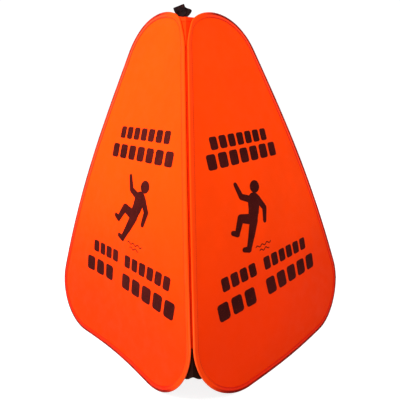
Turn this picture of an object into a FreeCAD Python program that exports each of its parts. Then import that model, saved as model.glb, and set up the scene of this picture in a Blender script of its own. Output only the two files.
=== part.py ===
"""Pop-up fabric wet floor cone: four hooped panels, folding at their shared corner seams.

Units are millimetres. +Z is up, the floor is Z = 0 and the cone's axis is the Z axis.
The front seam lies toward -Y, so the two front panels face -Y -X and -Y +X.
Each panel is drawn in its own plane: x across it, y up its slope from the floor, z outward.
z = 0 is the plane of a panel's two fold lines, just inside its cloth, so that two panels can
close face to face.
"""
import FreeCAD, Part
import math
import os

V = FreeCAD.Vector

# ---- driving dimensions -------------------------------------------------------------
HEIGHT = 787.0            # floor to the top of the panel hems
FACE_TILT = 15.3          # lean of each panel from vertical, degrees
BASE_REACH = 298.0        # axis to the plane of a panel's two fold lines, at the floor
FOOT_RADIUS = 120.0       # rounding of the two lower corners of a panel
FOLD_GAP = 0.6            # a hem keeps this far from the fold line
TAPE_GAP = 0.1            # the seam tape and webs reach to this far from it
HEM_TUBE_R = 2.75         # round sleeve sewn over the spring hoop
HEM_WIDTH = 13.0          # outer edge to the end of the hem's sewn flange
HEM_FLANGE = 1.9          # thickness of the flange, which grips the panel fabric
FLOOR_FLAT = 0.3          # how far the sleeve is pressed flat where it stands on the floor
FABRIC = 0.5              # panel, web and tape fabric
SLOT_PLAY = 0.1           # the panel fabric is this much thinner than the slot it sits in
WIRE_R = 1.25             # spring-steel hoop
TUNNEL_R = 1.40           # channel in the sleeve for the hoop
FERRULE_R = 2.0
FERRULE_BORE_R = 1.35
FERRULE_LENGTH = 30.0
FERRULE_HEIGHT = 330.0    # slope distance from the floor to the ferrule's middle
FERRULE_END_PLAY = 1.0    # room in the sleeve beyond each end of the ferrule
WIRE_END_GAP = 1.0        # between the two ends of the hoop, inside the ferrule
LAYER_PLAY = 0.1          # between layers of cloth that are sewn together
SEWN_LAP = 10.0           # the webs and tape are sewn this far in under the hem
PIECE_GAP = 0.3           # between the end of the tape and the webs above and below it
LOWER_WEB_OUTER = 79.0    # slope height of the lower web's bottom edge at the foot
LOWER_WEB_INNER = 92.5    # and at the fold line
LOWER_WEB_SPREAD = 1.4    # its bottom edge runs this far sideways for each unit it drops
LOWER_WEB_TOP = 150.0     # where it meets the seam tape
UPPER_WEB_BOTTOM = 740.0  # where the upper web meets the seam tape
UPPER_WEB_TOP = 800.0     # slope height of the upper web's top edge
UPPER_WEB_HEM = 9.0       # turned-over edge of the upper web
EDGE_PLAY = 0.15          # between pieces that lie edge to edge
STRAP_WIDTH = 25.0        # webbing of the hang loop
STRAP = 1.2
STRAP_FROM_FOLD = 10.0    # the strap's nearer edge to the front fold line
TAIL_BOTTOM = 776.0       # slope height of the lower end of the strap's stitched tail
LOOP_LINE = 808.0         # slope height where the strap bends
LOOP_TOP = 830.0
LOOP_R = 2.9              # outside radius of the loop's fold
LOOP_LEAN = 12.0          # the loop leans this far to the left, degrees
LOOP_THROAT = 0.12        # half the gap between the loop's two layers at its foot
LOOP_MIDDLE = -1.53       # the loop's middle plane, this far inside the fold lines' plane
LOOP_TRIM = 5.0           # the loop is folded this much wider, then cut to its leaning sides
TRIM_BOX = 200.0          # boxes that trim the loop are this large

# ---- what follows from them ---------------------------------------------------------
TILT = math.radians(FACE_TILT)
SLOPE = math.sin(TILT)                    # a fold line closes in this much per unit of slope
SIDE = math.atan(SLOPE)                   # lean of the fold line within the panel
SIDE_LENGTH = math.hypot(1.0, SLOPE)
MID = 2 * LAYER_PLAY + FABRIC + HEM_TUBE_R  # height of the hem's middle over the fold lines
TUBE_FOOT = (HEM_TUBE_R - FLOOR_FLAT - MID * math.sin(TILT)) / math.cos(TILT)
BOTTOM = TUBE_FOOT - HEM_TUBE_R           # slope height of the outline's lower edge
TOP = (HEIGHT - MID * math.sin(TILT) - HEM_TUBE_R) / math.cos(TILT) + HEM_TUBE_R
SIDE_REACH = BASE_REACH - FOLD_GAP * SIDE_LENGTH
TOP_RADIUS = (SIDE_REACH - SLOPE * TOP) / (SIDE_LENGTH - SLOPE)
TOP_CENTRE = TOP - TOP_RADIUS
FOOT_X = SIDE_REACH - SLOPE * (BOTTOM + FOOT_RADIUS) - FOOT_RADIUS * SIDE_LENGTH
FOOT_Y = BOTTOM + FOOT_RADIUS

PANELS = {"front_left": -135.0, "front_right": -45.0, "rear_right": 45.0, "rear_left": 135.0}
# the corner at a panel's low-x side and at its high-x side, seen from outside
CORNERS = {
    "front_left": ("left", "front"),
    "front_right": ("front", "right"),
    "rear_right": ("right", "rear"),
    "rear_left": ("rear", "left"),
}


def polar(radius, angle):
    return V(radius * math.cos(angle), radius * math.sin(angle), 0)


def line(a, b):
    return Part.makeLine(a, b)


def arc(centre, radius, start, end):
    middle = (start + end) / 2
    points = [centre + polar(radius, q) for q in (start, middle, end)]
    return Part.Arc(*points).toShape()


def outline(inset, level):
    """The panel's rounded outline, moved inward by inset, as a closed wire at height level."""
    foot = V(FOOT_X, FOOT_Y, level)
    crown = V(0, TOP_CENTRE, level)
    foot_r, crown_r = FOOT_RADIUS - inset, TOP_RADIUS - inset
    mirrored_foot = V(-FOOT_X, FOOT_Y, level)
    low = foot + V(0, -foot_r, 0)
    side_low = foot + polar(foot_r, SIDE)
    side_high = crown + polar(crown_r, SIDE)
    left_high = V(-side_high.x, side_high.y, level)
    left_low = V(-side_low.x, side_low.y, level)
    edges = [
        line(V(-low.x, low.y, level), low),
        arc(foot, foot_r, -math.pi / 2, SIDE),
        line(side_low, side_high),
        arc(crown, crown_r, SIDE, math.pi - SIDE),
        line(left_high, left_low),
        arc(mirrored_foot, foot_r, math.pi - SIDE, 1.5 * math.pi),
    ]
    return Part.Wire(edges)


def plate(inset, low, high):
    face = Part.Face(outline(inset, low))
    return face.extrude(V(0, 0, high - low))


def side_point(height, inset):
    """A point on the high-x side of the outline, at a slope height, moved inward by inset."""
    x = SIDE_REACH - SLOPE * height - inset * SIDE_LENGTH
    return V(x, height, MID)


def side_direction():
    return V(-SLOPE, 1, 0).normalize()


def round_bar(wire, radius):
    """A round bar along a chain of lines and arcs: cylinders and turned bends, joined."""
    pieces = []
    for edge in wire.Edges:
        start = edge.valueAt(edge.FirstParameter)
        along = edge.tangentAt(edge.FirstParameter)
        if edge.Curve.TypeId == "Part::GeomLine":
            pieces.append(Part.makeCylinder(radius, edge.Length, start, along))
        else:
            disc = Part.Face(Part.Wire(Part.makeCircle(radius, start, along)))
            bend = math.degrees(edge.Length / edge.Curve.Radius)
            pieces.append(disc.revolve(edge.Curve.Center, edge.Curve.Axis, bend))
    return pieces[0].fuse(pieces[1:]).removeSplitter()


def hoop_wire():
    """The hoop's centre line, opened by a small gap inside the ferrule."""
    inset = HEM_TUBE_R
    foot_r, crown_r = FOOT_RADIUS - inset, TOP_RADIUS - inset
    foot, crown = V(FOOT_X, FOOT_Y, MID), V(0, TOP_CENTRE, MID)
    mirrored_foot = V(-FOOT_X, FOOT_Y, MID)
    middle = side_point(FERRULE_HEIGHT, inset)
    step = side_direction() * (WIRE_END_GAP / 2)
    side_low, side_high = foot + polar(foot_r, SIDE), crown + polar(crown_r, SIDE)
    left_high, left_low = V(-side_high.x, side_high.y, MID), V(-side_low.x, side_low.y, MID)
    low = foot + V(0, -foot_r, 0)
    edges = [
        line(middle + step, side_high),
        arc(crown, crown_r, SIDE, math.pi - SIDE),
        line(left_high, left_low),
        arc(mirrored_foot, foot_r, math.pi - SIDE, 1.5 * math.pi),
        line(V(-low.x, low.y, MID), low),
        arc(foot, foot_r, -math.pi / 2, SIDE),
        line(side_low, middle - step),
    ]
    return Part.Wire(edges)


def hoop():
    """One length of round spring steel, bent to the outline, its two ends facing each other."""
    return round_bar(hoop_wire(), WIRE_R)


def ferrule_cylinder(radius, length):
    start = side_point(FERRULE_HEIGHT, HEM_TUBE_R) - side_direction() * (length / 2)
    return Part.makeCylinder(radius, length, start, side_direction())


def ferrule():
    """A crimped tube that joins the hoop's ends."""
    outer = ferrule_cylinder(FERRULE_R, FERRULE_LENGTH)
    return outer.cut(ferrule_cylinder(FERRULE_BORE_R, FERRULE_LENGTH))


def sleeve():
    """The hem: a round sleeve over the hoop, with a flange sewn to both sides of the fabric."""
    tube = round_bar(outline(HEM_TUBE_R, MID), HEM_TUBE_R)
    low, high = MID - HEM_FLANGE / 2, MID + HEM_FLANGE / 2
    flange = plate(HEM_TUBE_R, low, high).cut(plate(HEM_WIDTH, low, high))
    tunnel = round_bar(outline(HEM_TUBE_R, MID), TUNNEL_R)
    pocket = ferrule_cylinder(FERRULE_R + EDGE_PLAY, FERRULE_LENGTH + 2 * FERRULE_END_PLAY)
    slot_half = (FABRIC + SLOT_PLAY) / 2
    slot = plate(2 * HEM_TUBE_R, MID - slot_half, MID + slot_half)
    return tube.fuse(flange).removeSplitter().cut(tunnel).cut(pocket).cut(slot)


def fabric():
    """The panel's cloth, gripped all round in the slot of the hem."""
    return plate(2 * HEM_TUBE_R + SLOT_PLAY, MID - FABRIC / 2, MID + FABRIC / 2)


def prism(corners, low, high):
    """A flat sheet with the given corners."""
    ring = [V(x, y, low) for x, y in corners]
    return Part.Face(Part.makePolygon(ring + [ring[0]])).extrude(V(0, 0, high - low))


def fold_x(height):
    """Where cloth beside the fold line ends, at a slope height."""
    return BASE_REACH - SLOPE * height - TAPE_GAP * SIDE_LENGTH


def inner_sheet(corners):
    """Cloth on the inner face beside the fold line, sewn to the hem along SEWN_LAP."""
    sheet = prism(corners, LAYER_PLAY, LAYER_PLAY + FABRIC)
    return sheet.cut(plate(SEWN_LAP, 0, MID))


def lower_web():
    """Half of the black gusset between two feet."""
    inner, top = LOWER_WEB_INNER, LOWER_WEB_TOP
    foot_edge = fold_x(inner) - LOWER_WEB_SPREAD * (inner - LOWER_WEB_OUTER)
    corners = [(FOOT_X, LOWER_WEB_OUTER), (foot_edge, LOWER_WEB_OUTER), (fold_x(inner), inner)]
    return inner_sheet(corners + [(fold_x(top), top), (FOOT_X, top)])


def seam_tape():
    """Half of the tape that joins two hems along their fold line."""
    bottom, top = LOWER_WEB_TOP + PIECE_GAP, UPPER_WEB_BOTTOM - PIECE_GAP
    return inner_sheet([(0, bottom), (fold_x(bottom), bottom), (fold_x(top), top), (0, top)])


def upper_web():
    """Half of the gusset between two top lobes, with its upper edge turned over and sewn."""
    bottom, top = UPPER_WEB_BOTTOM, UPPER_WEB_TOP
    sheet = inner_sheet([(0, bottom), (fold_x(bottom), bottom), (fold_x(top), top), (0, top)])
    turn = top - UPPER_WEB_HEM
    edge = [(0, turn), (fold_x(turn), turn), (fold_x(top), top), (0, top)]
    layer = LAYER_PLAY + FABRIC
    turned = prism(edge, layer, layer + 2 * FABRIC).cut(plate(-EDGE_PLAY, 0, 2 * MID))
    return sheet.fuse(turned).removeSplitter()


# ---- the hang loop, inside the front corner of the front_left panel -------------------
STRAP_X = BASE_REACH - SLOPE * LOOP_LINE - STRAP_FROM_FOLD     # the strap's nearer edge
TAIL_INNER = -EDGE_PLAY - STRAP


def loop_tail():
    """The strap's stitched end, inside the upper web."""
    height = LOOP_LINE - EDGE_PLAY - TAIL_BOTTOM
    corner = V(STRAP_X - STRAP_WIDTH, TAIL_BOTTOM, TAIL_INNER)
    return Part.makeBox(STRAP_WIDTH, height, STRAP, corner)


def hang_loop():
    """Webbing folded back on itself, free above its stitching, with a small eye at the fold."""
    bottom = LOOP_LINE + EDGE_PLAY
    eye, throat = V(0, LOOP_TOP - LOOP_R, 0), V(0, bottom, 0)
    outer = hull_of_two_circles(eye, LOOP_R, throat, LOOP_THROAT + STRAP)
    inner = hull_of_two_circles(eye, LOOP_R - STRAP, throat, LOOP_THROAT)
    band = outer.cut(inner).extrude(V(0, 0, STRAP_WIDTH + 2 * LOOP_TRIM))
    side_on = FreeCAD.Rotation(V(0, 1, 0), 90)
    start = V(STRAP_X - STRAP_WIDTH - LOOP_TRIM, 0, LOOP_MIDDLE)
    band.Placement = FreeCAD.Placement(start, side_on)
    half = TRIM_BOX / 2
    width = Part.makeBox(STRAP_WIDTH, TRIM_BOX, TRIM_BOX, V(-STRAP_WIDTH, -half, -half))
    lean = FreeCAD.Rotation(V(0, 0, 1), LOOP_LEAN)
    width.Placement = FreeCAD.Placement(V(STRAP_X, bottom, 0), lean)
    above = Part.makeBox(TRIM_BOX, TRIM_BOX, TRIM_BOX, V(STRAP_X - half, bottom, -half))
    return band.common(width).common(above)


def hull_of_two_circles(a, ra, b, rb):
    """A face bounded by two circles' arcs and their outer tangents; a is above b."""
    lean = math.asin((ra - rb) / (a.y - b.y))
    right_a, right_b = a + polar(ra, -lean), b + polar(rb, -lean)
    left_a, left_b = a + polar(ra, math.pi + lean), b + polar(rb, math.pi + lean)
    over = arc(a, ra, -lean, math.pi + lean)
    under = arc(b, rb, math.pi + lean, 2 * math.pi - lean)
    return Part.Face(Part.Wire([over, line(left_a, left_b), under, line(right_b, right_a)]))


# ---- placing the panels ---------------------------------------------------------------
def mirrored(shape):
    return shape.mirror(V(0, 0, 0), V(1, 0, 0))


def placed(shape, heading):
    """Moves a shape from the panel's plane to the cone, its outside facing heading, degrees."""
    q = math.radians(heading)
    out = V(math.cos(q), math.sin(q), 0)
    up_slope = out * (-math.sin(TILT)) + V(0, 0, math.cos(TILT))
    normal = out * math.cos(TILT) + V(0, 0, math.sin(TILT))
    across = up_slope.cross(normal)
    matrix = FreeCAD.Matrix(
        across.x, up_slope.x, normal.x, out.x * BASE_REACH,
        across.y, up_slope.y, normal.y, out.y * BASE_REACH,
        across.z, up_slope.z, normal.z, 0,
        0, 0, 0, 1)
    moved = shape.copy()
    moved.Placement = FreeCAD.Placement(matrix).multiply(shape.Placement)
    return moved


def above_floor(shape):
    """What is left of a shape above Z = 0."""
    side = 4 * BASE_REACH
    slab = Part.makeBox(side, side, FOOT_RADIUS, V(-side / 2, -side / 2, -FOOT_RADIUS))
    return shape.cut(slab)


def save(node, shape):
    solids = shape.Solids
    if len(solids) != 1 or not shape.isValid():
        raise ValueError(node + " is not one valid solid")
    solids[0].exportStep("parts/" + node + ".step")


def build():
    os.makedirs("parts", exist_ok=True)
    panel_pieces = {"fabric": fabric(), "hem": sleeve(), "hoop": hoop(), "ferrule": ferrule()}
    edge_pieces = {"lower_web": lower_web(), "seam_tape": seam_tape(), "upper_web": upper_web()}
    for panel, heading in PANELS.items():
        for piece, shape in panel_pieces.items():
            save(panel + "_" + piece, above_floor(placed(shape, heading)))
        low_corner, high_corner = CORNERS[panel]
        for piece, shape in edge_pieces.items():
            save(panel + "_" + piece + "_" + high_corner, placed(shape, heading))
            save(panel + "_" + piece + "_" + low_corner, placed(mirrored(shape), heading))
    save("hang_loop_tail", placed(loop_tail(), PANELS["front_left"]))
    save("hang_loop", placed(hang_loop(), PANELS["front_left"]))


build()
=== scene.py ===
"""Looks of the pop-up wet floor cone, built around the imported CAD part.

The frame is in metres, +Z up: the cone's axis is the Z axis and the front seam lies toward -Y.
Lengths in this file are millimetres, unless a name or comment says otherwise.
Each panel is drawn in its own plane: u across it, s up its slope, n outward from the plane of
its two fold lines. Panel.at() turns that into a point of the frame, in metres.
"""
import math

import bmesh
import bpy
from mathutils import Matrix, Vector, noise


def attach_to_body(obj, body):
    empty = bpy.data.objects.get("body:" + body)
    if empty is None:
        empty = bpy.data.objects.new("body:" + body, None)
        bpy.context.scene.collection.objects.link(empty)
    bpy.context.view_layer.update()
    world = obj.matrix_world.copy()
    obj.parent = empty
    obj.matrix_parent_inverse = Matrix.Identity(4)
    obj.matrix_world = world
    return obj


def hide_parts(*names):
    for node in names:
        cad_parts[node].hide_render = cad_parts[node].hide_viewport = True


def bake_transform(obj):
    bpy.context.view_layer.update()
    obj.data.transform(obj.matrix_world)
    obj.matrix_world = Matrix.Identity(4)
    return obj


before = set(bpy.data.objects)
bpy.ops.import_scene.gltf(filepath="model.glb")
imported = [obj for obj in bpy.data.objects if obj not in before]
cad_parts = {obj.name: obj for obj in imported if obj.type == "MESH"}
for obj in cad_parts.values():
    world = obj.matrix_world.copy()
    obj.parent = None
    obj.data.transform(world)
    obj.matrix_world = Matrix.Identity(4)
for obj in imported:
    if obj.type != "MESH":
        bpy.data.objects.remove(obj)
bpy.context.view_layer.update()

MM = 0.001

# ---- dimensions of the CAD part ----
HEIGHT = 787.0  # floor to the top of the panel hems
TILT = math.radians(15.3)  # lean of each panel from vertical
REACH = 298.0  # axis to the plane of the fold lines, at the floor
FOOT_R = 120.0  # rounding of a panel's two lower corners
TUBE_R = 2.75  # the sleeve over the spring hoop
MID = 3.45  # the hem's middle, over the plane of the fold lines
FOLD_GAP = 0.6  # the outline keeps this far from the fold line
FLOOR_FLAT = 0.3  # how far the sleeve is pressed flat on the floor
SLOPE = math.sin(TILT)  # a fold line closes in this much per unit of slope
SIDE = math.atan(SLOPE)  # lean of the fold line within the panel
SIDE_LENGTH = math.hypot(1.0, SLOPE)
BOTTOM = (TUBE_R - FLOOR_FLAT - MID * math.sin(TILT)) / math.cos(TILT) - TUBE_R
TOP = (HEIGHT - MID * math.sin(TILT) - TUBE_R) / math.cos(TILT) + TUBE_R
SIDE_REACH = REACH - FOLD_GAP * SIDE_LENGTH
TOP_R = (SIDE_REACH - SLOPE * TOP) / (SIDE_LENGTH - SLOPE)
TOP_CENTRE = TOP - TOP_R
FOOT_X = SIDE_REACH - SLOPE * (BOTTOM + FOOT_R) - FOOT_R * SIDE_LENGTH
FOOT_Y = BOTTOM + FOOT_R

# ---- how the sprung cloth departs from flat panels ----
# bow of each seam halfway up, level and square to its panels, and the height where it changes sign
BOW = {"front": (18.0, 738.0), "left": (15.9, 713.0), "right": (16.6, 762.0), "rear": (0.0, 700.0)}
BELLY_TOP = 350.0  # the foot's own bow, in the panel's middle, dies out at this height
CROWN_LEAN = 10.0  # the two front crowns reach this much farther toward each other
CROWN_LEAN_FROM = (700.0, 90.0)  # slope height where that starts, and its rise to the full reach
CROWN_RISE = {"front_left": 4.5}  # this crown stands higher by this much
CROWN_RISE_FROM = (690.0, 110.0)

# ---- sizes of sewn details ----
RIM_STEP = 6.0  # spacing of cross-sections along the hem
HEM_WIDTH = 13.0
STITCH_INSET = 11.6  # the hem's stitch line, in from the outline
STITCH_LEVEL = MID + 0.78  # and its height over the plane of the fold lines
HEM_RIPPLE = 0.62  # height of the hem's puckers
HEM_WANDER = 0.35  # how far its inner edge strays
STITCH = 3.1  # one stitch, and the pitch from one to the next
STITCH_PITCH = 4.0
THREAD_R = 0.28
THREAD_SIDES = 6
CLOTH_INSET = 9.0  # the panel cloth ends this far in, under the hem
CLOTH = 0.45  # its thickness
CLOTH_ROWS = 170
CLOTH_COLUMNS = 44
WIRE_R = 1.25  # the spring hoop
WIRE_SIDES = 10
FERRULE_R = 2.0
FERRULE_HEIGHT = 330.0  # slope height of its middle
FERRULE_LENGTH = 30.0
FERRULE_SIDES, FERRULE_STEPS = 16, 30
CRIMPS = (0.2, 0.5, 0.8)  # where it is crimped, as shares of its length
CRIMP_DEPTH, CRIMP_REACH = 0.3, 0.045
LOWER_WEB = (79.0, 92.5, 150.0)  # slope heights: edge at the hem, edge at the fold, top
LOWER_WEB_SAG = 3.0
UPPER_WEB = (740.0, 800.0)  # slope heights of its lower and upper edges
UPPER_WEB_HEM = 9.0  # its turned-over edge
UPPER_WEB_DIP = 30.0  # its top edge dips this far at every fold but the front
UPPER_WEB_TAUT = {"left": 0.2, "right": 0.2}  # how far it is drawn straight across a corner
WEB_LAP = 8.0  # webs and tape start this far in from the outline, under the hems
WEB_LEVELS = (0.6, 0.1)  # heights of their two faces over the plane of the fold lines
TURNING_LEVELS = (1.5, 0.62)
WEB_ROWS, TAPE_ROWS, TURNING_ROWS = 10, 60, 3
PRINT_LIFT = 0.22  # the ink stands this far over the cloth's face
PRINT = 0.1  # its thickness
PRINT_STEP = 3.5  # spacing of its rows of points


def smooth(t):
    """An eased step: 0 up to t = 0, and 1 from t = 1 on."""
    t = min(1.0, max(0.0, t))
    return t * t * (3 - 2 * t)


def fold_x(s):
    """From a panel's middle line to its fold line, at a slope height."""
    return REACH - SLOPE * s


# where each corner lies, seen from the axis
DIAGONAL = {
    "front": Vector((0, -1, 0)),
    "right": Vector((1, 0, 0)),
    "rear": Vector((0, 1, 0)),
    "left": Vector((-1, 0, 0)),
}


def seam_bow(corner, z):
    """How far a seam is sprung outward at a height, as a vector."""
    most, span = BOW[corner]
    return DIAGONAL[corner] * (math.sqrt(2) * most * math.sin(math.pi * z / span))


class Panel:
    """One of the four panels: its place on the cone, and how its own cloth is sprung."""

    def __init__(self, name, heading, low_corner, high_corner, seed, belly):
        q = math.radians(heading)
        self.name = name
        self.seed = seed
        self.belly = belly
        self.corners = {1: high_corner, -1: low_corner}
        self.out = Vector((math.cos(q), math.sin(q), 0))
        self.up = self.out * -math.sin(TILT) + Vector((0, 0, math.cos(TILT)))
        self.normal = self.out * math.cos(TILT) + Vector((0, 0, math.sin(TILT)))
        self.across = self.up.cross(self.normal)

    def at(self, u, s, n):
        """A point of the sprung panel, in metres and never under the floor."""
        share = min(1.0, max(-1.0, u / fold_x(s)))
        front = {"front_left": 1, "front_right": -1}.get(self.name, 0)
        toward = share * front
        # a front crown's lean grows toward the front seam, and dies out at the seam itself
        lean = smooth((toward + 0.8) / 1.4) * (1 - smooth((toward - 0.66) / 0.34))
        high, rise = CROWN_LEAN_FROM
        u += front * CROWN_LEAN * lean * smooth((s - high) / rise)
        high, rise = CROWN_RISE_FROM
        lift = smooth((s - high) / rise) * smooth((0.9 - toward) / 0.4)
        s += CROWN_RISE.get(self.name, 0.0) * lift
        point = self.out * REACH + self.across * u + self.up * s + self.normal * n
        middle = math.cos(share * math.pi / 2) ** 2
        push = self.out * (self.belly * middle * smooth(1 - s / BELLY_TOP))
        push += seam_bow(self.corners[1], point.z) * ((1 + share) / 2)
        push += seam_bow(self.corners[-1], point.z) * ((1 - share) / 2)
        point += push
        point.z = max(point.z, 0.0)
        return point * MM


# name, heading from the axis, low and high corner, seed of its folds, and its belly at the foot
PANELS = {panel.name: panel for panel in (
    Panel("front_left", -135, "left", "front", 3.1, -15.0),
    Panel("front_right", -45, "front", "right", 17.7, 12.0),
    Panel("rear_right", 45, "right", "rear", 31.9, 6.0),
    Panel("rear_left", 135, "rear", "left", 48.3, 5.0),
)}
# each corner's panel on its low side and on its high side, going round the cone
CORNERS = {
    "front": ("front_left", "front_right"),
    "right": ("front_right", "rear_right"),
    "rear": ("rear_right", "rear_left"),
    "left": ("rear_left", "front_left"),
}


def attach(piece, panel, corner=None):
    """Rides the piece on its panel or, at any corner but the rear one, bakes it in place with no
    body.
    """
    if corner is None or corner == "rear":
        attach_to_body(piece, panel)
        return
    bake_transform(piece)


# ---- mesh builders ----
SHARP = math.radians(48)  # an edge bent more than this is a crisp one


class Shape:
    """The points, faces and cloth coordinates of a piece in the making, in metres."""

    def __init__(self):
        self.points, self.faces, self.uvs = [], [], []

    def tube(self, rings, uv_rings):
        """Adds a closed tube through rings of points, with its two ends capped."""
        count = len(rings[0])
        base = len(self.points)
        for ring, uv_ring in zip(rings, uv_rings):
            self.points.extend(ring)
            self.uvs.extend(uv_ring)
        for i in range(len(rings) - 1):
            for j in range(count):
                k = (j + 1) % count
                a = base + i * count
                self.faces.append((a + j, a + k, a + count + k, a + count + j))
        self.faces.append(tuple(range(base, base + count)))
        last = base + (len(rings) - 1) * count
        self.faces.append(tuple(range(last, last + count)))
        return self

    def sheet(self, outer, inner, grid_uvs):
        """Adds a closed thin sheet between two grids of points, rows of equal length."""
        rows, columns = len(outer), len(outer[0])
        base = len(self.points)
        for grid in (outer, inner):
            for row, uv_row in zip(grid, grid_uvs):
                self.points.extend(row)
                self.uvs.extend(uv_row)
        back = base + rows * columns
        for i in range(rows - 1):
            for j in range(columns - 1):
                a = i * columns + j
                quad = (a, a + 1, a + columns + 1, a + columns)
                self.faces.append(tuple(base + v for v in quad))
                self.faces.append(tuple(back + v for v in reversed(quad)))
        edge = list(range(columns))
        edge += [i * columns + columns - 1 for i in range(1, rows)]
        edge += [(rows - 1) * columns + j for j in range(columns - 2, -1, -1)]
        edge += [i * columns for i in range(rows - 2, 0, -1)]
        for a, b in zip(edge, edge[1:] + edge[:1]):
            self.faces.append((base + a, back + a, back + b, base + b))
        return self


def piece_from(name, shape, material, merge=False):
    """The shape as a mesh object, with outward faces and its crisp edges kept."""
    mesh = bpy.data.meshes.new(name)
    mesh.from_pydata([tuple(p) for p in shape.points], [], shape.faces)
    layer = mesh.uv_layers.new(name="cloth")
    for loop in mesh.loops:
        layer.data[loop.index].uv = shape.uvs[loop.vertex_index]
    bm = bmesh.new()
    bm.from_mesh(mesh)
    if merge:
        bmesh.ops.remove_doubles(bm, verts=bm.verts, dist=0.002 * MM)
    bmesh.ops.recalc_face_normals(bm, faces=bm.faces)
    for face in bm.faces:
        face.smooth = True
    for edge in bm.edges:
        edge.smooth = len(edge.link_faces) < 2 or edge.calc_face_angle(0) < SHARP
    bm.to_mesh(mesh)
    bm.free()
    mesh.materials.append(material)
    piece = bpy.data.objects.new(name, mesh)
    bpy.context.scene.collection.objects.link(piece)
    return piece


def half_piece(panel, side, label, shape, material, node=None, merge=False):
    """The shape as a piece of one side of a panel, in place of its CAD node if one is given."""
    corner = panel.corners[side]
    piece = piece_from(f"{panel.name}_{label}_{corner}", shape, material, merge)
    attach(piece, panel.name, corner)
    if node:
        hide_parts(panel.name + "_" + node)


# ---- the panel's outline ----
def rim_half():
    """Stations from the foot's middle round one side to the crown: x, y, outward x, outward y."""
    stations = []

    def straight(start, end, normal):
        count = max(1, round(math.dist(start, end) / RIM_STEP))
        for i in range(count):
            x, y = (a + (b - a) * (i / count) for a, b in zip(start, end))
            stations.append((x, y, *normal))

    def turn(centre, radius, start, end):
        count = max(1, round(radius * abs(end - start) / RIM_STEP))
        for i in range(count):
            q = start + (end - start) * i / count
            c, d = math.cos(q), math.sin(q)
            stations.append((centre[0] + radius * c, centre[1] + radius * d, c, d))

    c, d = math.cos(SIDE), math.sin(SIDE)
    side_low = (FOOT_X + FOOT_R * c, FOOT_Y + FOOT_R * d)
    side_high = (TOP_R * c, TOP_CENTRE + TOP_R * d)
    straight((0, BOTTOM), (FOOT_X, BOTTOM), (0, -1))
    turn((FOOT_X, FOOT_Y), FOOT_R, -math.pi / 2, SIDE)
    straight(side_low, side_high, (c, d))
    turn((0, TOP_CENTRE), TOP_R, SIDE, math.pi / 2)
    stations.append((0, TOP, 0, 1))
    return stations


def half_width(s, inset):
    """Half the panel's width at a slope height, inside an outline moved in by inset."""
    foot_r, top_r = FOOT_R - inset, TOP_R - inset
    if s < FOOT_Y + foot_r * math.sin(SIDE):
        return FOOT_X + math.sqrt(max(0.0, foot_r ** 2 - (s - FOOT_Y) ** 2))
    if s > TOP_CENTRE + top_r * math.sin(SIDE):
        return math.sqrt(max(0.0, top_r ** 2 - (s - TOP_CENTRE) ** 2))
    return SIDE_REACH - SLOPE * s - inset * SIDE_LENGTH


def depth_in(u, s):
    """How far inside the panel's outline a point lies."""
    u = abs(u)
    foot = (u - FOOT_X, s - FOOT_Y)
    crown = (u, s - TOP_CENTRE)
    if foot[0] > 0 and foot[1] < SLOPE * foot[0]:
        return FOOT_R - math.hypot(*foot)
    if crown[1] > SLOPE * crown[0]:
        return TOP_R - math.hypot(*crown)
    return min(s - BOTTOM, (SIDE_REACH - SLOPE * s - u) / SIDE_LENGTH)


# ---- cloth relief ----
def drape(panel, u, s):
    """How far the stretched cloth stands off its plane: slack, tension lines, puckers at the hem."""
    depth = depth_in(u, s)
    inside = smooth((depth - HEM_WIDTH) / 70)
    slack = 3.2 * noise.noise((u / 150, s / 190, panel.seed))
    lean = 0.9 * (math.hypot(u, 50) + 0.35 * s)
    pull = 1.2 * noise.noise((lean / 34, (s - 0.35 * u) / 230, panel.seed + 9))
    soft = 0.5 * noise.noise((u / 42, s / 60, panel.seed + 21))
    puckers = 0.55 * noise.noise((u / 13, s / 13, panel.seed + 40))
    near_hem = smooth((depth - CLOTH_INSET) / 5) * (1 - smooth((depth - HEM_WIDTH) / 34))
    return inside * (slack + pull + soft) + near_hem * puckers


def cloth_half(panel, side, material):
    """Half of the panel's cloth, from its middle line to where the hem grips it."""
    low = BOTTOM + CLOTH_INSET
    high = TOP - CLOTH_INSET
    outer, inner, grid_uvs = [], [], []
    for i in range(CLOTH_ROWS + 1):
        s = low + (high - low) * (1 - math.cos(math.pi * i / CLOTH_ROWS)) / 2
        reach = half_width(s, CLOTH_INSET)
        us = [side * reach * j / CLOTH_COLUMNS for j in range(CLOTH_COLUMNS + 1)]
        lifts = [MID + drape(panel, u, s) for u in us]
        outer.append([panel.at(u, s, n + CLOTH / 2) for u, n in zip(us, lifts)])
        inner.append([panel.at(u, s, n - CLOTH / 2) for u, n in zip(us, lifts)])
        grid_uvs.append([(u * MM, s * MM) for u in us])
    shape = Shape().sheet(outer, inner, grid_uvs)
    half_piece(panel, side, "cloth", shape, material, "fabric", merge=True)


# the hem's cross-section: distance in from the outline, and height over its middle
HEM_FACE = [
    (0.0, 0.0), (0.35, 1.3), (1.25, 2.3), (2.75, 2.75), (4.4, 2.6), (6.0, 2.15), (7.8, 1.6),
    (9.6, 1.25), (10.8, 1.05), (11.6, 0.62), (12.4, 0.95), (13.0, 0.55),
]
HEM_PROFILE = HEM_FACE + [(d, -n) for d, n in reversed(HEM_FACE[1:])]
HEM_STEPS = [math.dist(a, b) for a, b in zip(HEM_PROFILE, HEM_PROFILE[1:] + HEM_PROFILE[:1])]
HEM_GIRTH = sum(HEM_STEPS)
HEM_GIRTHS = [sum(HEM_STEPS[:k]) for k in range(len(HEM_PROFILE))]
STITCH_GIRTH = HEM_GIRTHS[HEM_FACE.index((11.6, 0.62))]


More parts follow.
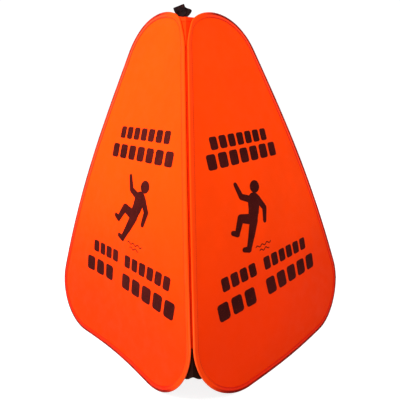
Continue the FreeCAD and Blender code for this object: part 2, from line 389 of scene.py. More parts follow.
def hem_point(panel, side, station, along, d, n):
    """A point of the puckered hem: d in from the outline and n over its middle, at a station."""
    x, y, nx, ny = station
    seed = panel.seed + 3 * side + (0 if n > 0 else 50)
    curved = 1.0 if abs(ny) > 0.3 and abs(nx) > 0.02 else 0.55
    slack = smooth((d - 3.5) / 3.5) * smooth((12.4 - d) / 2.0)
    ripple = noise.noise((along / 6.5, d / 9, seed))
    ripple += 0.5 * noise.noise((along / 21, d / 16, seed + 5))
    lift = curved * HEM_RIPPLE * slack * ripple * (1 if n > 0 else -1)
    wander = HEM_WANDER * noise.noise((along / 60, seed, 2.0))
    inset = d + wander * (d / HEM_WIDTH)
    return panel.at(side * (x - nx * inset), y - ny * inset, MID + n + lift)


def hem_half(panel, side, material):
    """Half of a panel's hem: a puckered sleeve over the hoop, sewn down at its inner edge."""
    rings, uv_rings = [], []
    along = 0.0
    stations = rim_half()
    for before, station in zip(stations[:1] + stations, stations):
        along += math.dist(before[:2], station[:2])
        rings.append([hem_point(panel, side, station, along, d, n) for d, n in HEM_PROFILE])
        uv_rings.append([(along * MM, girth * MM) for girth in HEM_GIRTHS])
    shape = Shape().tube(rings, uv_rings)
    half_piece(panel, side, "hem", shape, material, "hem")


def ring_about(panel, station, side, radius, count):
    """A ring of points round the hoop's centre line at a rim station."""
    x, y, nx, ny = station
    ring = []
    for j in range(count):
        q = 2 * math.pi * j / count
        d = TUBE_R + radius * math.cos(q)
        ring.append(panel.at(side * (x - nx * d), y - ny * d, MID + radius * math.sin(q)))
    return ring


def hoop_half(panel, side, material):
    """Half of the spring hoop, inside the hem."""
    rings, uv_rings = [], []
    for i, station in enumerate(rim_half()):
        rings.append(ring_about(panel, station, side, WIRE_R, WIRE_SIDES))
        uv_rings.append([(i * RIM_STEP * MM, j * MM) for j in range(WIRE_SIDES)])
    shape = Shape().tube(rings, uv_rings)
    half_piece(panel, side, "hoop", shape, material, "hoop")


def ferrule(panel, material):
    """The tube that joins the hoop's ends, crimped in three places."""
    rings, uv_rings = [], []
    for i in range(FERRULE_STEPS + 1):
        t = i / FERRULE_STEPS
        s = FERRULE_HEIGHT + (t - 0.5) * FERRULE_LENGTH * math.cos(SIDE)
        station = (SIDE_REACH - SLOPE * s, s, math.cos(SIDE), math.sin(SIDE))
        crimp = CRIMP_DEPTH * sum(math.exp(-((t - c) / CRIMP_REACH) ** 2) for c in CRIMPS)
        end = 0.25 * (1 - smooth(min(t, 1 - t) / 0.04))
        rings.append(ring_about(panel, station, 1, FERRULE_R - crimp - end, FERRULE_SIDES))
        uv_rings.append([(t * FERRULE_LENGTH * MM, j * MM) for j in range(FERRULE_SIDES)])
    shape = Shape().tube(rings, uv_rings)
    piece = piece_from(panel.name + "_crimp_tube", shape, material)
    attach(piece, panel.name, panel.corners[1])
    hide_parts(panel.name + "_ferrule")


# a stitch's arch: share of its length, height of its middle, and share of the thread's radius
STITCH_ARCH = [(0.0, -0.25, 0.55), (0.18, 0.12, 1.0), (0.5, 0.25, 1.0), (0.82, 0.12, 1.0),
               (1.0, -0.25, 0.55)]


def stitch(shape, start, end, lift):
    """Adds one stitch of thread, arched between two holes, as a small six-sided bar."""
    along = (end - start).normalized()
    side = along.cross(lift).normalized()
    rings, uv_rings = [], []
    for t, high, thick in STITCH_ARCH:
        middle = start.lerp(end, t) + lift * (high * MM)
        ring = []
        for j in range(THREAD_SIDES):
            q = 2 * math.pi * j / THREAD_SIDES
            offset = side * math.cos(q) + lift * math.sin(q)
            ring.append(middle + offset * (THREAD_R * thick * MM))
        rings.append(ring)
        uv_rings.append([(t * STITCH * MM, j * 0.3 * MM) for j in range(THREAD_SIDES)])
    shape.tube(rings, uv_rings)


def hem_stitching(panel, side, material):
    """The lockstitch line that holds half of the hem, on its outer face."""
    shape = Shape()
    stations = rim_half()
    travelled = 0.0
    due = STITCH_PITCH / 2
    for a, b in zip(stations, stations[1:]):
        step = math.dist(a[:2], b[:2])
        while due < travelled + step:
            t = (due - travelled) / step
            x, y, nx, ny = [p + (q - p) * t for p, q in zip(a, b)]
            u, s = side * (x - nx * STITCH_INSET), y - ny * STITCH_INSET
            du, ds = side * -ny * STITCH / 2, nx * STITCH / 2
            ends = [panel.at(u + k * du, s + k * ds, STITCH_LEVEL) for k in (-1, 1)]
            stitch(shape, *ends, panel.normal)
            due += STITCH_PITCH
        travelled += step
    half_piece(panel, side, "hem_stitches", shape, material)


# ---- cloth across the corners ----
# columns of a corner sheet, as shares of the way from the hem to the fold line
ACROSS = [0.0, 0.16, 0.34, 0.52, 0.7, 0.84, 0.94, 1.0]


def corner_rows(panel, side, heights, levels, sag):
    """Grids of points of one panel's half of a corner sheet, for each level, and their uvs."""
    grids = [[] for _ in levels]
    grid_uvs = []
    for height in heights:
        rows = [[] for _ in levels]
        uv_row = []
        for f in ACROSS:
            s = height(f)
            start = half_width(s, WEB_LAP)
            u = start + (fold_x(s) - start) * f
            inward = sag(s) * math.sin(f * math.pi / 2) ** 2
            for row, level in zip(rows, levels):
                row.append(panel.at(side * u, s, level - inward))
            uv_row.append((side * u * MM, s * MM))
        for grid, row in zip(grids, rows):
            grid.append(row)
        grid_uvs.append(uv_row)
    return grids, grid_uvs


def flatten(row_a, row_b, share):
    """Draws two facing rows toward the straight line between their starts, as taut cloth is."""
    start, end = row_a[0].copy(), row_b[0].copy()
    for row, near, far in ((row_a, start, end), (row_b, end, start)):
        for j, f in enumerate(ACROSS):
            row[j] = row[j].lerp(near.lerp(far, f / 2), share)


def joined_rows(corner, heights, levels, sag, flat):
    """A corner sheet's grids over both of its panels, meeting on the fold line."""
    a, b = (PANELS[name] for name in CORNERS[corner])
    grids_a, uvs_a = corner_rows(a, 1, heights, levels, sag)
    grids_b, uvs_b = corner_rows(b, -1, heights, levels, sag)
    grids = []
    for grid_a, grid_b in zip(grids_a, grids_b):
        rows = []
        for row_a, row_b in zip(grid_a, grid_b):
            flatten(row_a, row_b, flat)
            middle = (row_a[-1] + row_b[-1]) / 2
            rows.append(row_a[:-1] + [middle] + list(reversed(row_b[:-1])))
        grids.append(rows)
    shift = 2 * REACH * MM
    grid_uvs = []
    for row_a, row_b in zip(uvs_a, uvs_b):
        over = [(u + shift, s) for u, s in reversed(row_b[:-1])]
        grid_uvs.append(row_a + over)
    return grids, grid_uvs


def no_sag(s):
    return 0.0


def corner_sheet(corner, label, nodes, heights, levels, material, sag=no_sag, flat=0.0):
    """One sheet across a corner, or its two halves at the rear, where the ring is opened.

    Its halves stand in for the CAD nodes named, and heights are its rows, from low to high.
    """
    if corner == "rear":
        builds = []
        for name, side in zip(CORNERS["rear"], (1, -1)):
            (outer, inner), grid_uvs = corner_rows(PANELS[name], side, heights, levels, sag)
            builds.append((name + "_" + label + "_half", outer, inner, grid_uvs, (name,)))
    else:
        (outer, inner), grid_uvs = joined_rows(corner, heights, levels, sag, flat)
        builds = [(corner + "_" + label, outer, inner, grid_uvs, CORNERS[corner])]
    for name, outer, inner, grid_uvs, owners in builds:
        shape = Shape().sheet(outer, inner, grid_uvs)
        piece = piece_from(name, shape, material)
        attach(piece, owners[0], corner)
        if nodes:
            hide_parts(*[f"{owner}_{nodes}_{corner}" for owner in owners])


def level_edge(s):
    """An edge at the same slope height all the way to the fold."""
    return lambda f: s


def rows_between(bottom, top, count):
    """Rows of a sheet between two edges, each a slope height at a share of the way to the fold."""
    return [lambda f, t=i / count: bottom(f) + (top(f) - bottom(f)) * t for i in range(count + 1)]


def lower_web_sag(s):
    """How far the lower web hangs in behind the fold line, least near the seam tape."""
    return LOWER_WEB_SAG * smooth((LOWER_WEB[2] + 10 - s) / 80)


def corner_cloth(corner, looks):
    """The sheets that join two panels: a lower web, the seam tape, and a hemmed upper web."""
    hem_edge, fold_edge, lower_top = LOWER_WEB
    upper_low, upper_top = UPPER_WEB
    dip = 0.0 if corner == "front" else UPPER_WEB_DIP
    flat = UPPER_WEB_TAUT.get(corner, 0.0)

    def lower_edge(f):
        return hem_edge + (fold_edge - hem_edge) * smooth((f - 0.25) / 0.75)

    def upper_edge(f):
        return upper_top - dip * smooth((f - 0.1) / 0.9)

    def turning_edge(f):
        return upper_edge(f) - UPPER_WEB_HEM

    lower = rows_between(lower_edge, level_edge(lower_top), WEB_ROWS)
    tape = rows_between(level_edge(lower_top), level_edge(upper_low), TAPE_ROWS)
    upper = rows_between(level_edge(upper_low), upper_edge, WEB_ROWS)
    turning = rows_between(turning_edge, upper_edge, TURNING_ROWS)
    corner_sheet(corner, "lower_web", "lower_web", lower, WEB_LEVELS,
                 looks["black"], sag=lower_web_sag)
    corner_sheet(corner, "seam_tape", "seam_tape", tape, WEB_LEVELS, looks["tape"])
    corner_sheet(corner, "upper_web", "upper_web", upper, WEB_LEVELS,
                 looks["web"], flat=flat)
    corner_sheet(corner, "upper_web_turning", "", turning, TURNING_LEVELS,
                 looks["web"], flat=flat)


# ---- the hang loop ----
STRAP_WIDTH = 25.0
LOOP_LINE = 808.0  # slope height where the strap bends
TAIL_BOTTOM = 776.0
SEWN = TAIL_BOTTOM - LOOP_LINE  # the sewn tail's lower end, from the bend
STRAP_MIDDLE = fold_x(LOOP_LINE) - 17.0 - STRAP_WIDTH / 2  # 17 mm clear of the fold
STRAP_ACROSS = Vector((0.95, -0.16, 0.27))  # its width, once it has turned to the front
STRAP_RISE = Vector((-0.72, -0.05, 0.62))  # the way it leans over
TURN_FROM = 18.0  # it starts to turn this far under its bend
STRAP_INWARD = 8.0  # and stands this far in at the bend
STRAP_LEVEL = -1.42  # the sewn tail's middle, from the plane of the fold lines
LOOP_HEIGHT = 18.5
LEG_SPREAD = 12.0  # the loop's back leg is sewn this far beside its front leg
LEG_SPREAD_TOP = 13.0  # the two legs come together at this height
LEG_BACK = 0.66  # the middle of each leg, from the middle between them
LOOP_R = 2.4  # radius of the fold at the loop's top
LOOP_STEPS = 12  # cross-sections in each stretch of it
STITCHES_BACK = 1.24  # the strap's stitches, from the middle between its legs
STITCHES_INSET = 3.0  # and from its edges
STITCHES_TOP = -8.0
# half of its section: distance across, and height over its middle
STRAP_FACE = [(-12.5, 0.0), (-12.1, 0.45), (-11.0, 0.6), (-4.0, 0.52), (4.0, 0.52), (11.0, 0.6),
              (12.1, 0.45), (12.5, 0.0)]
STRAP_PROFILE = STRAP_FACE + [(w, -t) for w, t in reversed(STRAP_FACE[1:-1])]


def strap_place(h, back, aside):
    """A point of the strap: h up from the bend, back from its middle, and aside along its width.

    Sewn flat to the panel low down, the strap turns to the front as it rises, and leans over.
    """
    panel = PANELS["front_left"]
    wide = panel.across.lerp(STRAP_ACROSS, smooth((h + TURN_FROM) / 30)).normalized()
    rise = panel.up.lerp(STRAP_RISE, smooth(h / 9)).normalized()
    thick = wide.cross(rise).normalized()
    high, span = CROWN_LEAN_FROM
    middle = STRAP_MIDDLE - 0.7 * CROWN_LEAN * smooth((LOOP_LINE + h - high) / span)
    inward = STRAP_INWARD * smooth((h + TURN_FROM) / TURN_FROM)
    base = panel.at(middle, LOOP_LINE + min(h, 0.0), STRAP_LEVEL - inward)
    lean = (panel.up + rise).normalized()
    return base + (lean * max(h, 0.0) - thick * back + wide * aside) * MM, wide, thick


def strap_section(h, back, turn):
    """A cross-section of the strap: its middle, and the directions of its width and thickness."""
    aside = LEG_SPREAD * (1 - smooth(h / LEG_SPREAD_TOP)) if back > 0 else 0.0
    middle, wide, thick = strap_place(h, back, aside)
    rise = thick.cross(wide)
    return middle, wide, thick * math.cos(turn) + rise * math.sin(turn)


def leg_back(t):
    """How far a leg's middle stands from the middle between the legs, t of the way up."""
    return LEG_BACK + (LOOP_R - LEG_BACK) * smooth(1.2 * t)


def strap_sections():
    """Cross-sections of the strap: up its front leg, over the loop, and down its back leg."""
    straight = LOOP_HEIGHT - LOOP_R
    steps = [i / LOOP_STEPS for i in range(LOOP_STEPS + 1)]
    turns = [math.pi * t for t in steps]
    places = [(SEWN * (1 - t), -LEG_BACK, 0.0) for t in steps[:-1]]
    places += [(straight * t, -leg_back(t), 0.0) for t in steps[:-1]]
    places += [(straight + LOOP_R * math.sin(q), -LOOP_R * math.cos(q), q) for q in turns]
    places += [(straight * (1 - t), leg_back(1 - t), math.pi) for t in steps[1:]]
    places += [(SEWN * t, LEG_BACK, math.pi) for t in steps[1:]]
    return [strap_section(*place) for place in places]


def hang_strap(material, thread):
    """One strap: sewn inside the front corner, up, folded over, and sewn down behind itself."""
    sections = strap_sections()
    rings, uv_rings = [], []
    along = 0.0
    for before, (middle, wide, thick) in zip(sections[:1] + sections, sections):
        along += (middle - before[0]).length
        rings.append([middle + (wide * w + thick * t) * MM for w, t in STRAP_PROFILE])
        uv_rings.append([(w * MM, along) for w, _ in STRAP_PROFILE])
    shape = Shape().tube(rings, uv_rings)
    piece = piece_from("hang_loop_strap", shape, material)
    bend, _, _ = strap_place(0.0, 0.0, 0.0)
    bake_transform(piece)
    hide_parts("hang_loop", "hang_loop_tail")
    strap_stitches(thread)


def strap_stitches(thread):
    """A box of stitches with a cross in it, on the sewn part of the strap."""
    low, half = SEWN + STITCHES_INSET, STRAP_WIDTH / 2 - STITCHES_INSET
    a, b, c, d = (-half, low), (half, low), (half, STITCHES_TOP), (-half, STITCHES_TOP)
    shape = Shape()
    for (u0, h0), (u1, h1) in ((a, b), (b, c), (c, d), (d, a), (a, c), (d, b)):
        count = max(1, round(math.dist((u0, h0), (u1, h1)) / STITCH_PITCH))
        for i in range(count):
            ends = []
            for t in ((i + 0.1) / count, (i + 0.9) / count):
                u, h = u0 + (u1 - u0) * t, h0 + (h1 - h0) * t
                end, _, thick = strap_place(h, STITCHES_BACK, u + LEG_SPREAD)
                ends.append(end)
            stitch(shape, *ends, -thick)
    attach(piece_from("hang_loop_tail_stitches", shape, thread), "front_left")


# ---- the print ----
# each row of the print: slope height of its middle, block height, half width, blocks in each group
PRINT_ROWS = [
    (540.0, 28.0, 87.0, (7,)),
    (498.0, 33.0, 107.0, (7,)),
    (245.0, 30.0, 147.0, (4, 6)),
    (192.0, 38.0, 171.0, (3, 5)),
]
# the print's parts aren't centred: how far across and up each one sits
ROW_SHIFT = {
    "left_facing": ((19.5, 8.0), (19.5, 5.5), (28.0, 6.0), (28.0, 7.5)),
    "right_facing": ((-16.5, -8.0), (-15.0, -4.0), (-10.0, -5.0), (-10.5, -5.5)),
}
BLOCK_FILL = 0.78  # a block's share of its pitch
BLOCK_CORNER = 0.22  # its corners' radius, as a share of its shorter side
GROUP_GAP = 0.8  # room between two groups, in pitches
FIGURE_AT = {"left_facing": (29.0, 375.0), "right_facing": (-30.0, 360.0)}
FIGURE_SIZE = 0.97
LIMB_LIFT = 0.02  # each limb lies this much over the one before it
INK_COLUMNS = (-1.0, -0.5, 0.0, 0.5, 1.0)


def facing(panel):
    """Which of the two arrangements of the print a panel has."""
    return "left_facing" if panel.corners[1] in ("front", "rear") else "right_facing"


def print_patch(shape, panel, width_at, low, high, place, lift=0.0):
    """Adds ink on the cloth, of the given half width at each step from low to high."""
    rows = max(6, math.ceil((high - low) / PRINT_STEP))
    grid_out, grid_in, grid_uvs = [], [], []
    for i in range(rows + 1):
        a = low + (high - low) * (1 - math.cos(math.pi * i / rows)) / 2
        reach = max(0.02, width_at(a))
        row_out, row_in, uv_row = [], [], []
        for f in INK_COLUMNS:
            u, s = place(a, reach * f)
            face = MID + drape(panel, u, s) + CLOTH / 2
            row_out.append(panel.at(u, s, face + PRINT_LIFT + PRINT + lift))
            row_in.append(panel.at(u, s, face + PRINT_LIFT + lift))
            uv_row.append((u * MM, s * MM))
        grid_out.append(row_out)
        grid_in.append(row_in)
        grid_uvs.append(uv_row)
    shape.sheet(grid_out, grid_in, grid_uvs)


def print_piece(panel, label, shape, ink):
    """The shape as a piece of print that rides on its panel."""
    attach(piece_from(f"{panel.name}_print_{label}", shape, ink), panel.name)


def rounded_block(shape, panel, u, s, width, height):
    """A plain block of ink with round corners."""
    corner = BLOCK_CORNER * min(width, height)

    def width_at(a):
        over = max(0.0, abs(a) - (height / 2 - corner))
        return width / 2 - corner + math.sqrt(max(0.0, corner ** 2 - over ** 2))

    def place(a, b):
        return u + b, s + a

    print_patch(shape, panel, width_at, -height / 2, height / 2, place)


def limb(shape, panel, start, end, r0, r1, lift):
    """A tapered stroke with round ends, measured from the figure's middle."""
    middle = FIGURE_AT[facing(panel)]
    length = math.dist(start, end)
    along = [(b - a) / length for a, b in zip(start, end)]

    def width_at(a):
        if a < 0:
            return math.sqrt(max(0.0, r0 ** 2 - a ** 2))
        if a > length:
            return math.sqrt(max(0.0, r1 ** 2 - (a - length) ** 2))
        return r0 + (r1 - r0) * a / length

    def place(a, b):
        x = start[0] + along[0] * a - along[1] * b
        y = start[1] + along[1] * a + along[0] * b
        return middle[0] + FIGURE_SIZE * x, middle[1] + FIGURE_SIZE * y

    print_patch(shape, panel, width_at, -r0, length + r1, place, lift)


# a plain slipping figure: each limb's two ends and its half width at each
FIGURE = {
    "head": ((27, 61), (27.1, 61), 15.0, 15.0),
    "chest": ((16, 30), (9, 6), 19.0, 16.0),
    "hips": ((9, 8), (1, -13), 16.0, 14.5),
    "upper_arm_raised": ((4, 36), (-20, 47), 8.4, 7.2),
    "forearm_raised": ((-20, 47), (-31, 78), 7.2, 5.2),
    "upper_arm_low": ((28, 32), (45, 5), 8.4, 7.4),
    "forearm_low": ((45, 5), (38, -25), 7.4, 5.6),
    "thigh_raised": ((-1, -11), (-35, 0), 12.6, 10.0),
    "shin_raised": ((-35, 0), (-54, -30), 9.8, 7.2),
    "shoe_raised": ((-54, -31), (-67, -25), 7.2, 5.6),
    "thigh_low": ((3, -15), (-13, -46), 12.8, 10.2),
    "shin_low": ((-13, -46), (-30, -74), 9.8, 7.4),
    "shoe_low": ((-30, -75), (-45, -71), 7.4, 5.8),
}


def figure(panel, ink):
    """The slipping figure, limb by limb."""
    shape = Shape()
    for i, (start, end, r0, r1) in enumerate(FIGURE.values()):
        limb(shape, panel, start, end, r0, r1, LIMB_LIFT * i)
    print_piece(panel, "figure", shape, ink)


# the wet patch: each wavy stroke's two ends and its height, from the figure's middle
WAVES = [(-8, 44, -78), (2, 34, -89)]
WAVE_STEPS = 16
WAVE_HEIGHT = 2.6
WAVE_LENGTH = 17.0
WAVE_HALF_WIDTH = 1.1


def puddle(panel, ink):
    """Two short wavy strokes for a wet patch, beside the figure's lower foot."""
    shape = Shape()
    for x0, x1, y0 in WAVES:
        wave = []
        for i in range(WAVE_STEPS + 1):
            x = x0 + (x1 - x0) * i / WAVE_STEPS
            wave.append((x, y0 + WAVE_HEIGHT * math.sin(2 * math.pi * (x - x0) / WAVE_LENGTH)))
        for i, (a, b) in enumerate(zip(wave, wave[1:])):
            limb(shape, panel, a, b, WAVE_HALF_WIDTH, WAVE_HALF_WIDTH, LIMB_LIFT * (i % 2))
    print_piece(panel, "puddle", shape, ink)


def print_rows(panel, ink):
    """Rows of plain blocks, in groups, with no lettering."""
    for row, (s, height, half, groups) in enumerate(PRINT_ROWS):
        shift, rise = ROW_SHIFT[facing(panel)][row]
        shape = Shape()
        count = sum(groups) + GROUP_GAP * (len(groups) - 1)
        pitch = 2 * half / (count - (1 - BLOCK_FILL))
        u = shift - half
        for group in groups:
            for _ in range(group):
                middle = u + pitch * BLOCK_FILL / 2
                rounded_block(shape, panel, middle, s + rise, pitch * BLOCK_FILL, height)
                u += pitch
            u += GROUP_GAP * pitch
        print_piece(panel, f"row_{row + 1}", shape, ink)


# ---- materials ----
ORANGE = (0.96, 0.051, 0.0012)
# pale colour of the painted highlight on the hems' outer edge
HEM_HIGHLIGHT = (1.0, 0.11, 0.02)
GLOW = (1.0, 0.2, 0.04)  # tint of the nylon's sheen and shine


class Look:
    """A node material built up from the cloth coordinates, in metres, and object coordinates."""

    def __init__(self, name, rough, sheen=0.0, sheen_tint=(1, 1, 1), metal=0.0, specular=0.4):
        self.material = bpy.data.materials.new(name)
        self.material.use_nodes = True
        self.tree = self.material.node_tree
        self.surface = self.tree.nodes["Principled BSDF"]
        self.feed(self.surface, {
            "Roughness": rough, "Metallic": metal, "Specular IOR Level": specular,
            "Sheen Weight": sheen, "Sheen Tint": (*sheen_tint, 1), "Sheen Roughness": 0.45,
        })
        coordinates = self.node("TexCoord")
        self.place = coordinates.outputs["Object"]
        self.u, self.v, _ = self.node("SeparateXYZ", {0: coordinates.outputs["UV"]}).outputs
        self.aside, _, self.height = self.node("SeparateXYZ", {0: self.place}).outputs

    def feed(self, node, inputs):
        """Sets a node's inputs, each to a socket or to a plain value."""
        for name, value in inputs.items():
            if isinstance(value, bpy.types.NodeSocket):
                self.tree.links.new(value, node.inputs[name])
            else:
                node.inputs[name].default_value = value

    def node(self, kind, inputs=None):
        """A new node with these inputs."""
        node = self.tree.nodes.new("ShaderNode" + kind)
        self.feed(node, inputs or {})
        return node

    def math(self, operation, a, b=0.0, c=0.0):
        """A math node of values, each a socket or a number."""
        node = self.node("Math", {0: a, 1: b, 2: c})
        node.operation = operation
        return node.outputs[0]

    def times(self, a, b):
        return self.math("MULTIPLY", a, b)

    def noise(self, scale, detail=3.0, rough=0.55):
        """Noise over the object coordinates, about 0 to 1."""
        settings = {"Scale": scale, "Detail": detail, "Roughness": rough, "Vector": self.place}
        return self.node("TexNoise", settings).outputs["Fac"]

    def spread(self, value, low, high, a, b):
        """Eases from a to b as the value goes from low to high."""
        ends = {"Value": value, "From Min": low, "From Max": high, "To Min": a, "To Max": b}
        node = self.node("MapRange", ends)
        node.interpolation_type = "SMOOTHSTEP"
        return node.outputs[0]

    def mix(self, share, a, b):
        """Colour a, with this share of colour b, each a socket or three numbers."""
        node = self.node("Mix", {"Factor": share})
        node.data_type = "RGBA"
        a, b = ((*colour, 1) if isinstance(colour, tuple) else colour for colour in (a, b))
        self.feed(node, {6: a, 7: b})
        return node.outputs[2]

    def weave(self, pitch):
        """Crossing threads of a plain weave, 0 to 1."""
        turn = 2 * math.pi / (pitch * MM)
        warp = self.math("SINE", self.times(self.u, turn))
        weft = self.math("SINE", self.times(self.v, turn))
        return self.math("MULTIPLY_ADD", self.times(warp, weft), 0.5, 0.5)

    def ribs(self, pitch, along):
        """Ribs of webbing, running along v, or across it."""
        turn = 2 * math.pi / (pitch * MM)
        wave = self.math("SINE", self.times(self.u if along else self.v, turn))
        return self.math("MULTIPLY_ADD", wave, 0.5, 0.5)

    def bump(self, height, strength, depth):
        """Adds relief, depth millimetres deep, to what is there."""
        node = self.node("Bump", {"Strength": strength, "Distance": depth * MM, "Height": height})
        previous = self.surface.inputs["Normal"]
        if previous.links:
            self.tree.links.new(previous.links[0].from_socket, node.inputs["Normal"])
        self.tree.links.new(node.outputs[0], previous)

    def colour(self, socket, plain):
        """Sets the colour, with a plain one to stand in for it."""
        self.feed(self.surface, {"Base Color": (*plain, 1)})
        self.feed(self.surface, {"Base Color": socket})

    def roughness(self, socket):
        self.feed(self.surface, {"Roughness": socket})


def tone(colour, share):
    """The colour, lighter or darker."""
    return tuple(min(1.0, c * share) for c in colour)


def hem_colour_and_painted_light(look, base, deep, rim):
    """Gives a hem painted shade on its outer edge, in patches, and painted shade in the valley along
    its stitches.

    Along the front and rear seams it has the panels' orange and, in place of that edge shade, a
    painted highlight on its outer edge low down.
    """
    edge = look.math("MINIMUM", look.v, look.math("SUBTRACT", HEM_GIRTH * MM, look.v))
    away = look.spread(look.math("ABSOLUTE", look.aside), 0.03, 0.07, 0.0, 1.0)
    base = look.mix(look.math("SUBTRACT", 0.9, away), base, tone(ORANGE, 0.94))
    # painted shade: the hem's outer edge darkened, in patches, away from the front and rear seams
    painted_light_mask = look.spread(edge, 6.6 * MM, 9.0 * MM, 1.0, 0.0)
    patchy = look.spread(look.noise(24.0, detail=4), 0.3, 0.6, 0.7, 1.0)
    base = look.mix(look.times(look.times(painted_light_mask, patchy), away), base, rim)
    # painted highlight: a pale lit edge low down, along the front and rear seams
    low = look.spread(look.height, 0.12, 0.34, 0.7, 0.0)
    bright = look.spread(edge, 1.6 * MM, 4.6 * MM, 0.95, 0.0)
    painted_highlight = look.times(bright, look.math("SUBTRACT", low, away))
    base = look.mix(look.math("MAXIMUM", painted_highlight, 0.0), base, HEM_HIGHLIGHT)
    # painted shade in the valley along the stitches
    valley = look.math("ABSOLUTE", look.math("SUBTRACT", edge, STITCH_GIRTH * MM))
    line = look.spread(valley, 0.8 * MM, 2.6 * MM, 0.65, 0.0)
    share = look.math("MULTIPLY_ADD", away, 0.75, 0.25)
    return look.mix(look.times(line, share), base, deep)


def nylon(name, colour, deep, pitch=0.7, sheen=0.04, rough=0.68, rim=None):
    """Coated plain-weave nylon: clouded, darker toward the foot by painted shade, scuffed toward the
    foot, woven and creased.

    With a rim colour it is a hem, with the seam colour, painted shade and painted highlight that
    hems are given.
    """
    look = Look(name, rough, sheen=sheen, sheen_tint=GLOW, specular=0.1)
    look.feed(look.surface, {"Specular Tint": (*GLOW, 1)})
    cloud = look.noise(7.0, detail=4)
    base = look.mix(look.spread(cloud, 0.36, 0.66, 0.0, 1.0), tone(colour, 0.93), colour)
    weave = look.weave(pitch)
    base = look.mix(look.spread(weave, 0.0, 0.45, 0.22, 0.0), base, deep)
    # painted shade: deeper toward the foot, as the light falls off down the cone
    base = look.mix(look.spread(look.height, 0.08, 0.42, 0.72, 0.0), base, deep)
    low = look.spread(look.height, 0.0, 0.16, 1.0, 0.0)
    scuff = look.spread(look.noise(55.0, detail=6, rough=0.7), 0.54, 0.74, 0.0, 0.5)
    base = look.mix(look.times(low, scuff), base, deep)
    if rim:
        base = hem_colour_and_painted_light(look, base, deep, rim)
    look.colour(base, colour)
    look.roughness(look.spread(look.noise(38.0, detail=4), 0.3, 0.7, rough - 0.08, rough + 0.1))
    look.bump(look.noise(34.0, detail=5, rough=0.6), 0.22, 1.2)
    look.bump(weave, 0.35, 0.10)
    return look.material


def thread_look(name, colour):
    """Twisted sewing thread."""
    look = Look(name, 0.6, sheen=0.05, sheen_tint=(1.0, 0.3, 0.1), specular=0.12)
    twist = look.math("SINE", look.times(look.math("ADD", look.u, look.v), 9000.0))
    fibres = look.math("MULTIPLY_ADD", twist, 0.5, 0.5)
    look.colour(look.mix(look.spread(fibres, 0.0, 0.7, 0.0, 1.0), tone(colour, 0.6), colour),
                colour)
    look.bump(fibres, 0.5, 0.08)
    look.roughness(look.spread(look.noise(220.0), 0.3, 0.7, 0.42, 0.62))
    return look.material


def webbing_look(name, colour, painted_reflection):
    """Ribbed webbing, with patches of painted reflection of the orange panels in a warmer colour."""
    look = Look(name, 0.75, specular=0.05)
    across = look.ribs(1.05, along=False)
    along = look.ribs(2.1, along=True)
    cloth = look.math("MULTIPLY_ADD", along, 0.35, look.times(across, 0.65))
    # painted reflection: patches of the orange panels' warm colour on the dark strap
    painted_light_mask = look.spread(look.noise(160.0, detail=5), 0.5, 0.72, 0.0, 0.6)
    base = look.mix(look.spread(cloth, 0.2, 0.9, 0.0, 1.0), tone(colour, 0.45), colour)
    look.colour(look.mix(painted_light_mask, base, painted_reflection), colour)
    look.bump(cloth, 0.8, 0.35)
    look.roughness(look.spread(look.noise(120.0), 0.3, 0.7, 0.5, 0.75))
    return look.material


def ink_look(name, colour):
    """Screen-printed ink: the weave shows through, thinner in small specks."""
    look = Look(name, 0.6, specular=0.03)
    specks = look.spread(look.noise(420.0, detail=3), 0.60, 0.74, 0.0, 0.45)
    cloud = look.spread(look.noise(14.0), 0.35, 0.65, 0.0, 1.0)
    base = look.mix(cloud, tone(colour, 0.8), tone(colour, 1.2))
    look.colour(look.mix(specks, base, (0.30, 0.035, 0.012)), colour)
    look.bump(look.weave(0.7), 0.3, 0.08)
    look.roughness(look.spread(look.noise(60.0), 0.3, 0.7, 0.45, 0.6))
    return look.material


def metal_look(name, colour, rough):
    """Drawn metal: fine marks along it, dulled in patches."""
    look = Look(name, rough, metal=1.0, specular=0.5)
    marks = look.noise(900.0, detail=2)
    dull = look.noise(70.0, detail=5)
    look.colour(look.mix(look.spread(dull, 0.35, 0.7, 0.0, 1.0), tone(colour, 0.75), colour),
                colour)
    look.roughness(look.spread(dull, 0.3, 0.7, rough - 0.08, rough + 0.18))
    look.bump(marks, 0.2, 0.05)
    return look.material


LOOKS = {
    "panel": nylon("panel_nylon", ORANGE, (0.80, 0.025, 0.0006)),
    # the hem's rim colour is the dark of the painted shade on its outer edge
    "hem": nylon("hem_nylon", (1.0, 0.050, 0.015), (0.66, 0.011, 0.002), rim=(0.17, 0.004, 0.002)),
    # painted shade: the upper webs are the panels' orange made deeper, standing in for their being
    # less lit
    "web": nylon("web_nylon", (0.84, 0.028, 0.0008), (0.62, 0.013, 0.0005)),
    # the seam tape's own orange-red, made deeper as painted shade for the crease between the hems
    # where it lies
    "tape": nylon("tape_nylon", (0.62, 0.015, 0.001), (0.40, 0.007, 0.0005), pitch=0.9),
    "black": nylon("gusset_nylon", (0.016, 0.005, 0.004), (0.006, 0.002, 0.002), sheen=0.05),
    "thread": thread_look("hem_thread", (0.62, 0.022, 0.002)),
    "dark_thread": thread_look("strap_thread", (0.05, 0.015, 0.012)),
    # the strap's second colour is the painted reflection of the orange panels
    "webbing": webbing_look("strap_webbing", (0.009, 0.0018, 0.0022), (0.045, 0.008, 0.007)),
    "ink": ink_look("maroon_ink", (0.042, 0.0034, 0.0028)),
    "steel": metal_look("spring_wire", (0.45, 0.46, 0.48), 0.3),
    "ferrule": metal_look("crimped_tube", (0.62, 0.63, 0.65), 0.35),
}

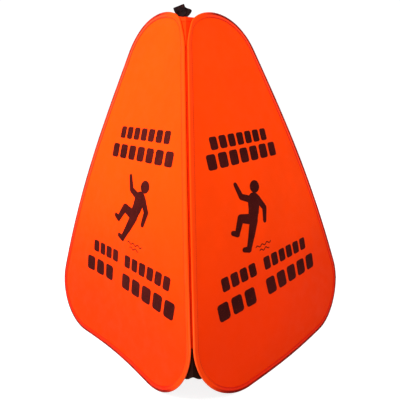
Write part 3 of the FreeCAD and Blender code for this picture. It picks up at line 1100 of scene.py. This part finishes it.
# ---- the object ----
for panel in PANELS.values():
    for side in (1, -1):
        cloth_half(panel, side, LOOKS["panel"])
        hem_half(panel, side, LOOKS["hem"])
        hem_stitching(panel, side, LOOKS["thread"])
        hoop_half(panel, side, LOOKS["steel"])
    ferrule(panel, LOOKS["ferrule"])
    for draw in (print_rows, figure, puddle):
        draw(panel, LOOKS["ink"])
for corner in CORNERS:
    corner_cloth(corner, LOOKS)
hang_strap(LOOKS["webbing"], LOOKS["dark_thread"])


# ---- studio ----
# places and sizes in metres
FLOOR_REACH = 30.0
CAMERA_PLACE = (0.0502, -1.0334, 0.6416)
CAMERA_HEADING = math.radians(2.13)  # it looks this far left of +Y
CAMERA_PITCH = math.radians(16.73)  # and this far down
CAMERA_ROLL = math.radians(-2.07)


def backdrop():
    """A plain pale floor, wide enough to fill the view."""
    mesh = bpy.data.meshes.new("floor")
    r = FLOOR_REACH
    mesh.from_pydata([(-r, -r, 0), (r, -r, 0), (r, r, 0), (-r, r, 0)], [], [(0, 1, 2, 3)])
    look = Look("pale_floor", 0.8, specular=0.05)
    seen = look.node("LightPath").outputs["Is Camera Ray"]
    look.colour(look.mix(seen, (0.42, 0.42, 0.42), (0.30, 0.30, 0.30)), (0.95, 0.95, 0.95))
    glow = look.times(seen, 0.86)
    look.feed(look.surface, {"Emission Color": (1, 1, 1, 1), "Emission Strength": glow})
    mesh.materials.append(look.material)
    floor = bpy.data.objects.new("floor", mesh)
    bpy.context.scene.collection.objects.link(floor)


def soft_light(name, place, target, size, power):
    """A round area light, with its size in metres and its power in watts."""
    data = bpy.data.lights.new(name, "AREA")
    data.shape = "DISK"
    data.size = size
    data.energy = power
    light = bpy.data.objects.new(name, data)
    light.location = place
    aim = Vector(target) - Vector(place)
    light.rotation_mode = "QUATERNION"
    light.rotation_quaternion = aim.to_track_quat("-Z", "Y")
    bpy.context.scene.collection.objects.link(light)


def studio():
    """A white room, brighter to the eye than it is as a light, and three soft lights."""
    world = bpy.data.worlds.new("studio")
    world.use_nodes = True
    tree = world.node_tree
    seen = tree.nodes.new("ShaderNodeLightPath").outputs["Is Camera Ray"]
    level = tree.nodes.new("ShaderNodeMapRange")
    level.inputs["To Min"].default_value = 0.52
    level.inputs["To Max"].default_value = 1.05
    tree.links.new(seen, level.inputs["Value"])
    background = tree.nodes["Background"]
    background.inputs[0].default_value = (1, 1, 1, 1)
    tree.links.new(level.outputs[0], background.inputs[1])
    bpy.context.scene.world = world
    bpy.context.scene.view_settings.view_transform = "Standard"
    soft_light("key", (-0.95, -0.75, 1.25), (-0.15, -0.15, 0.45), 0.5, 36)
    soft_light("fill", (0.75, -0.85, 1.2), (0.12, -0.12, 0.5), 0.6, 10)
    soft_light("back", (0.5, 1.25, 1.3), (0, 0.1, 0.4), 1.0, 16)


def camera():
    """The view from in front, a little to the right, looking slightly down."""
    level = math.cos(CAMERA_PITCH)
    forward = Vector((-math.sin(CAMERA_HEADING) * level, math.cos(CAMERA_HEADING) * level,
                      -math.sin(CAMERA_PITCH)))
    data = bpy.data.cameras.new("camera")
    data.lens = 35.7
    data.sensor_width = 36.0
    data.clip_start = 0.05
    view = bpy.data.objects.new("camera", data)
    turn = forward.to_track_quat("-Z", "Y").to_matrix().to_4x4()
    turn = turn @ Matrix.Rotation(CAMERA_ROLL, 4, "Z")
    view.matrix_world = Matrix.Translation(CAMERA_PLACE) @ turn
    bpy.context.scene.collection.objects.link(view)
    bpy.context.scene.camera = view


backdrop()
studio()
camera()
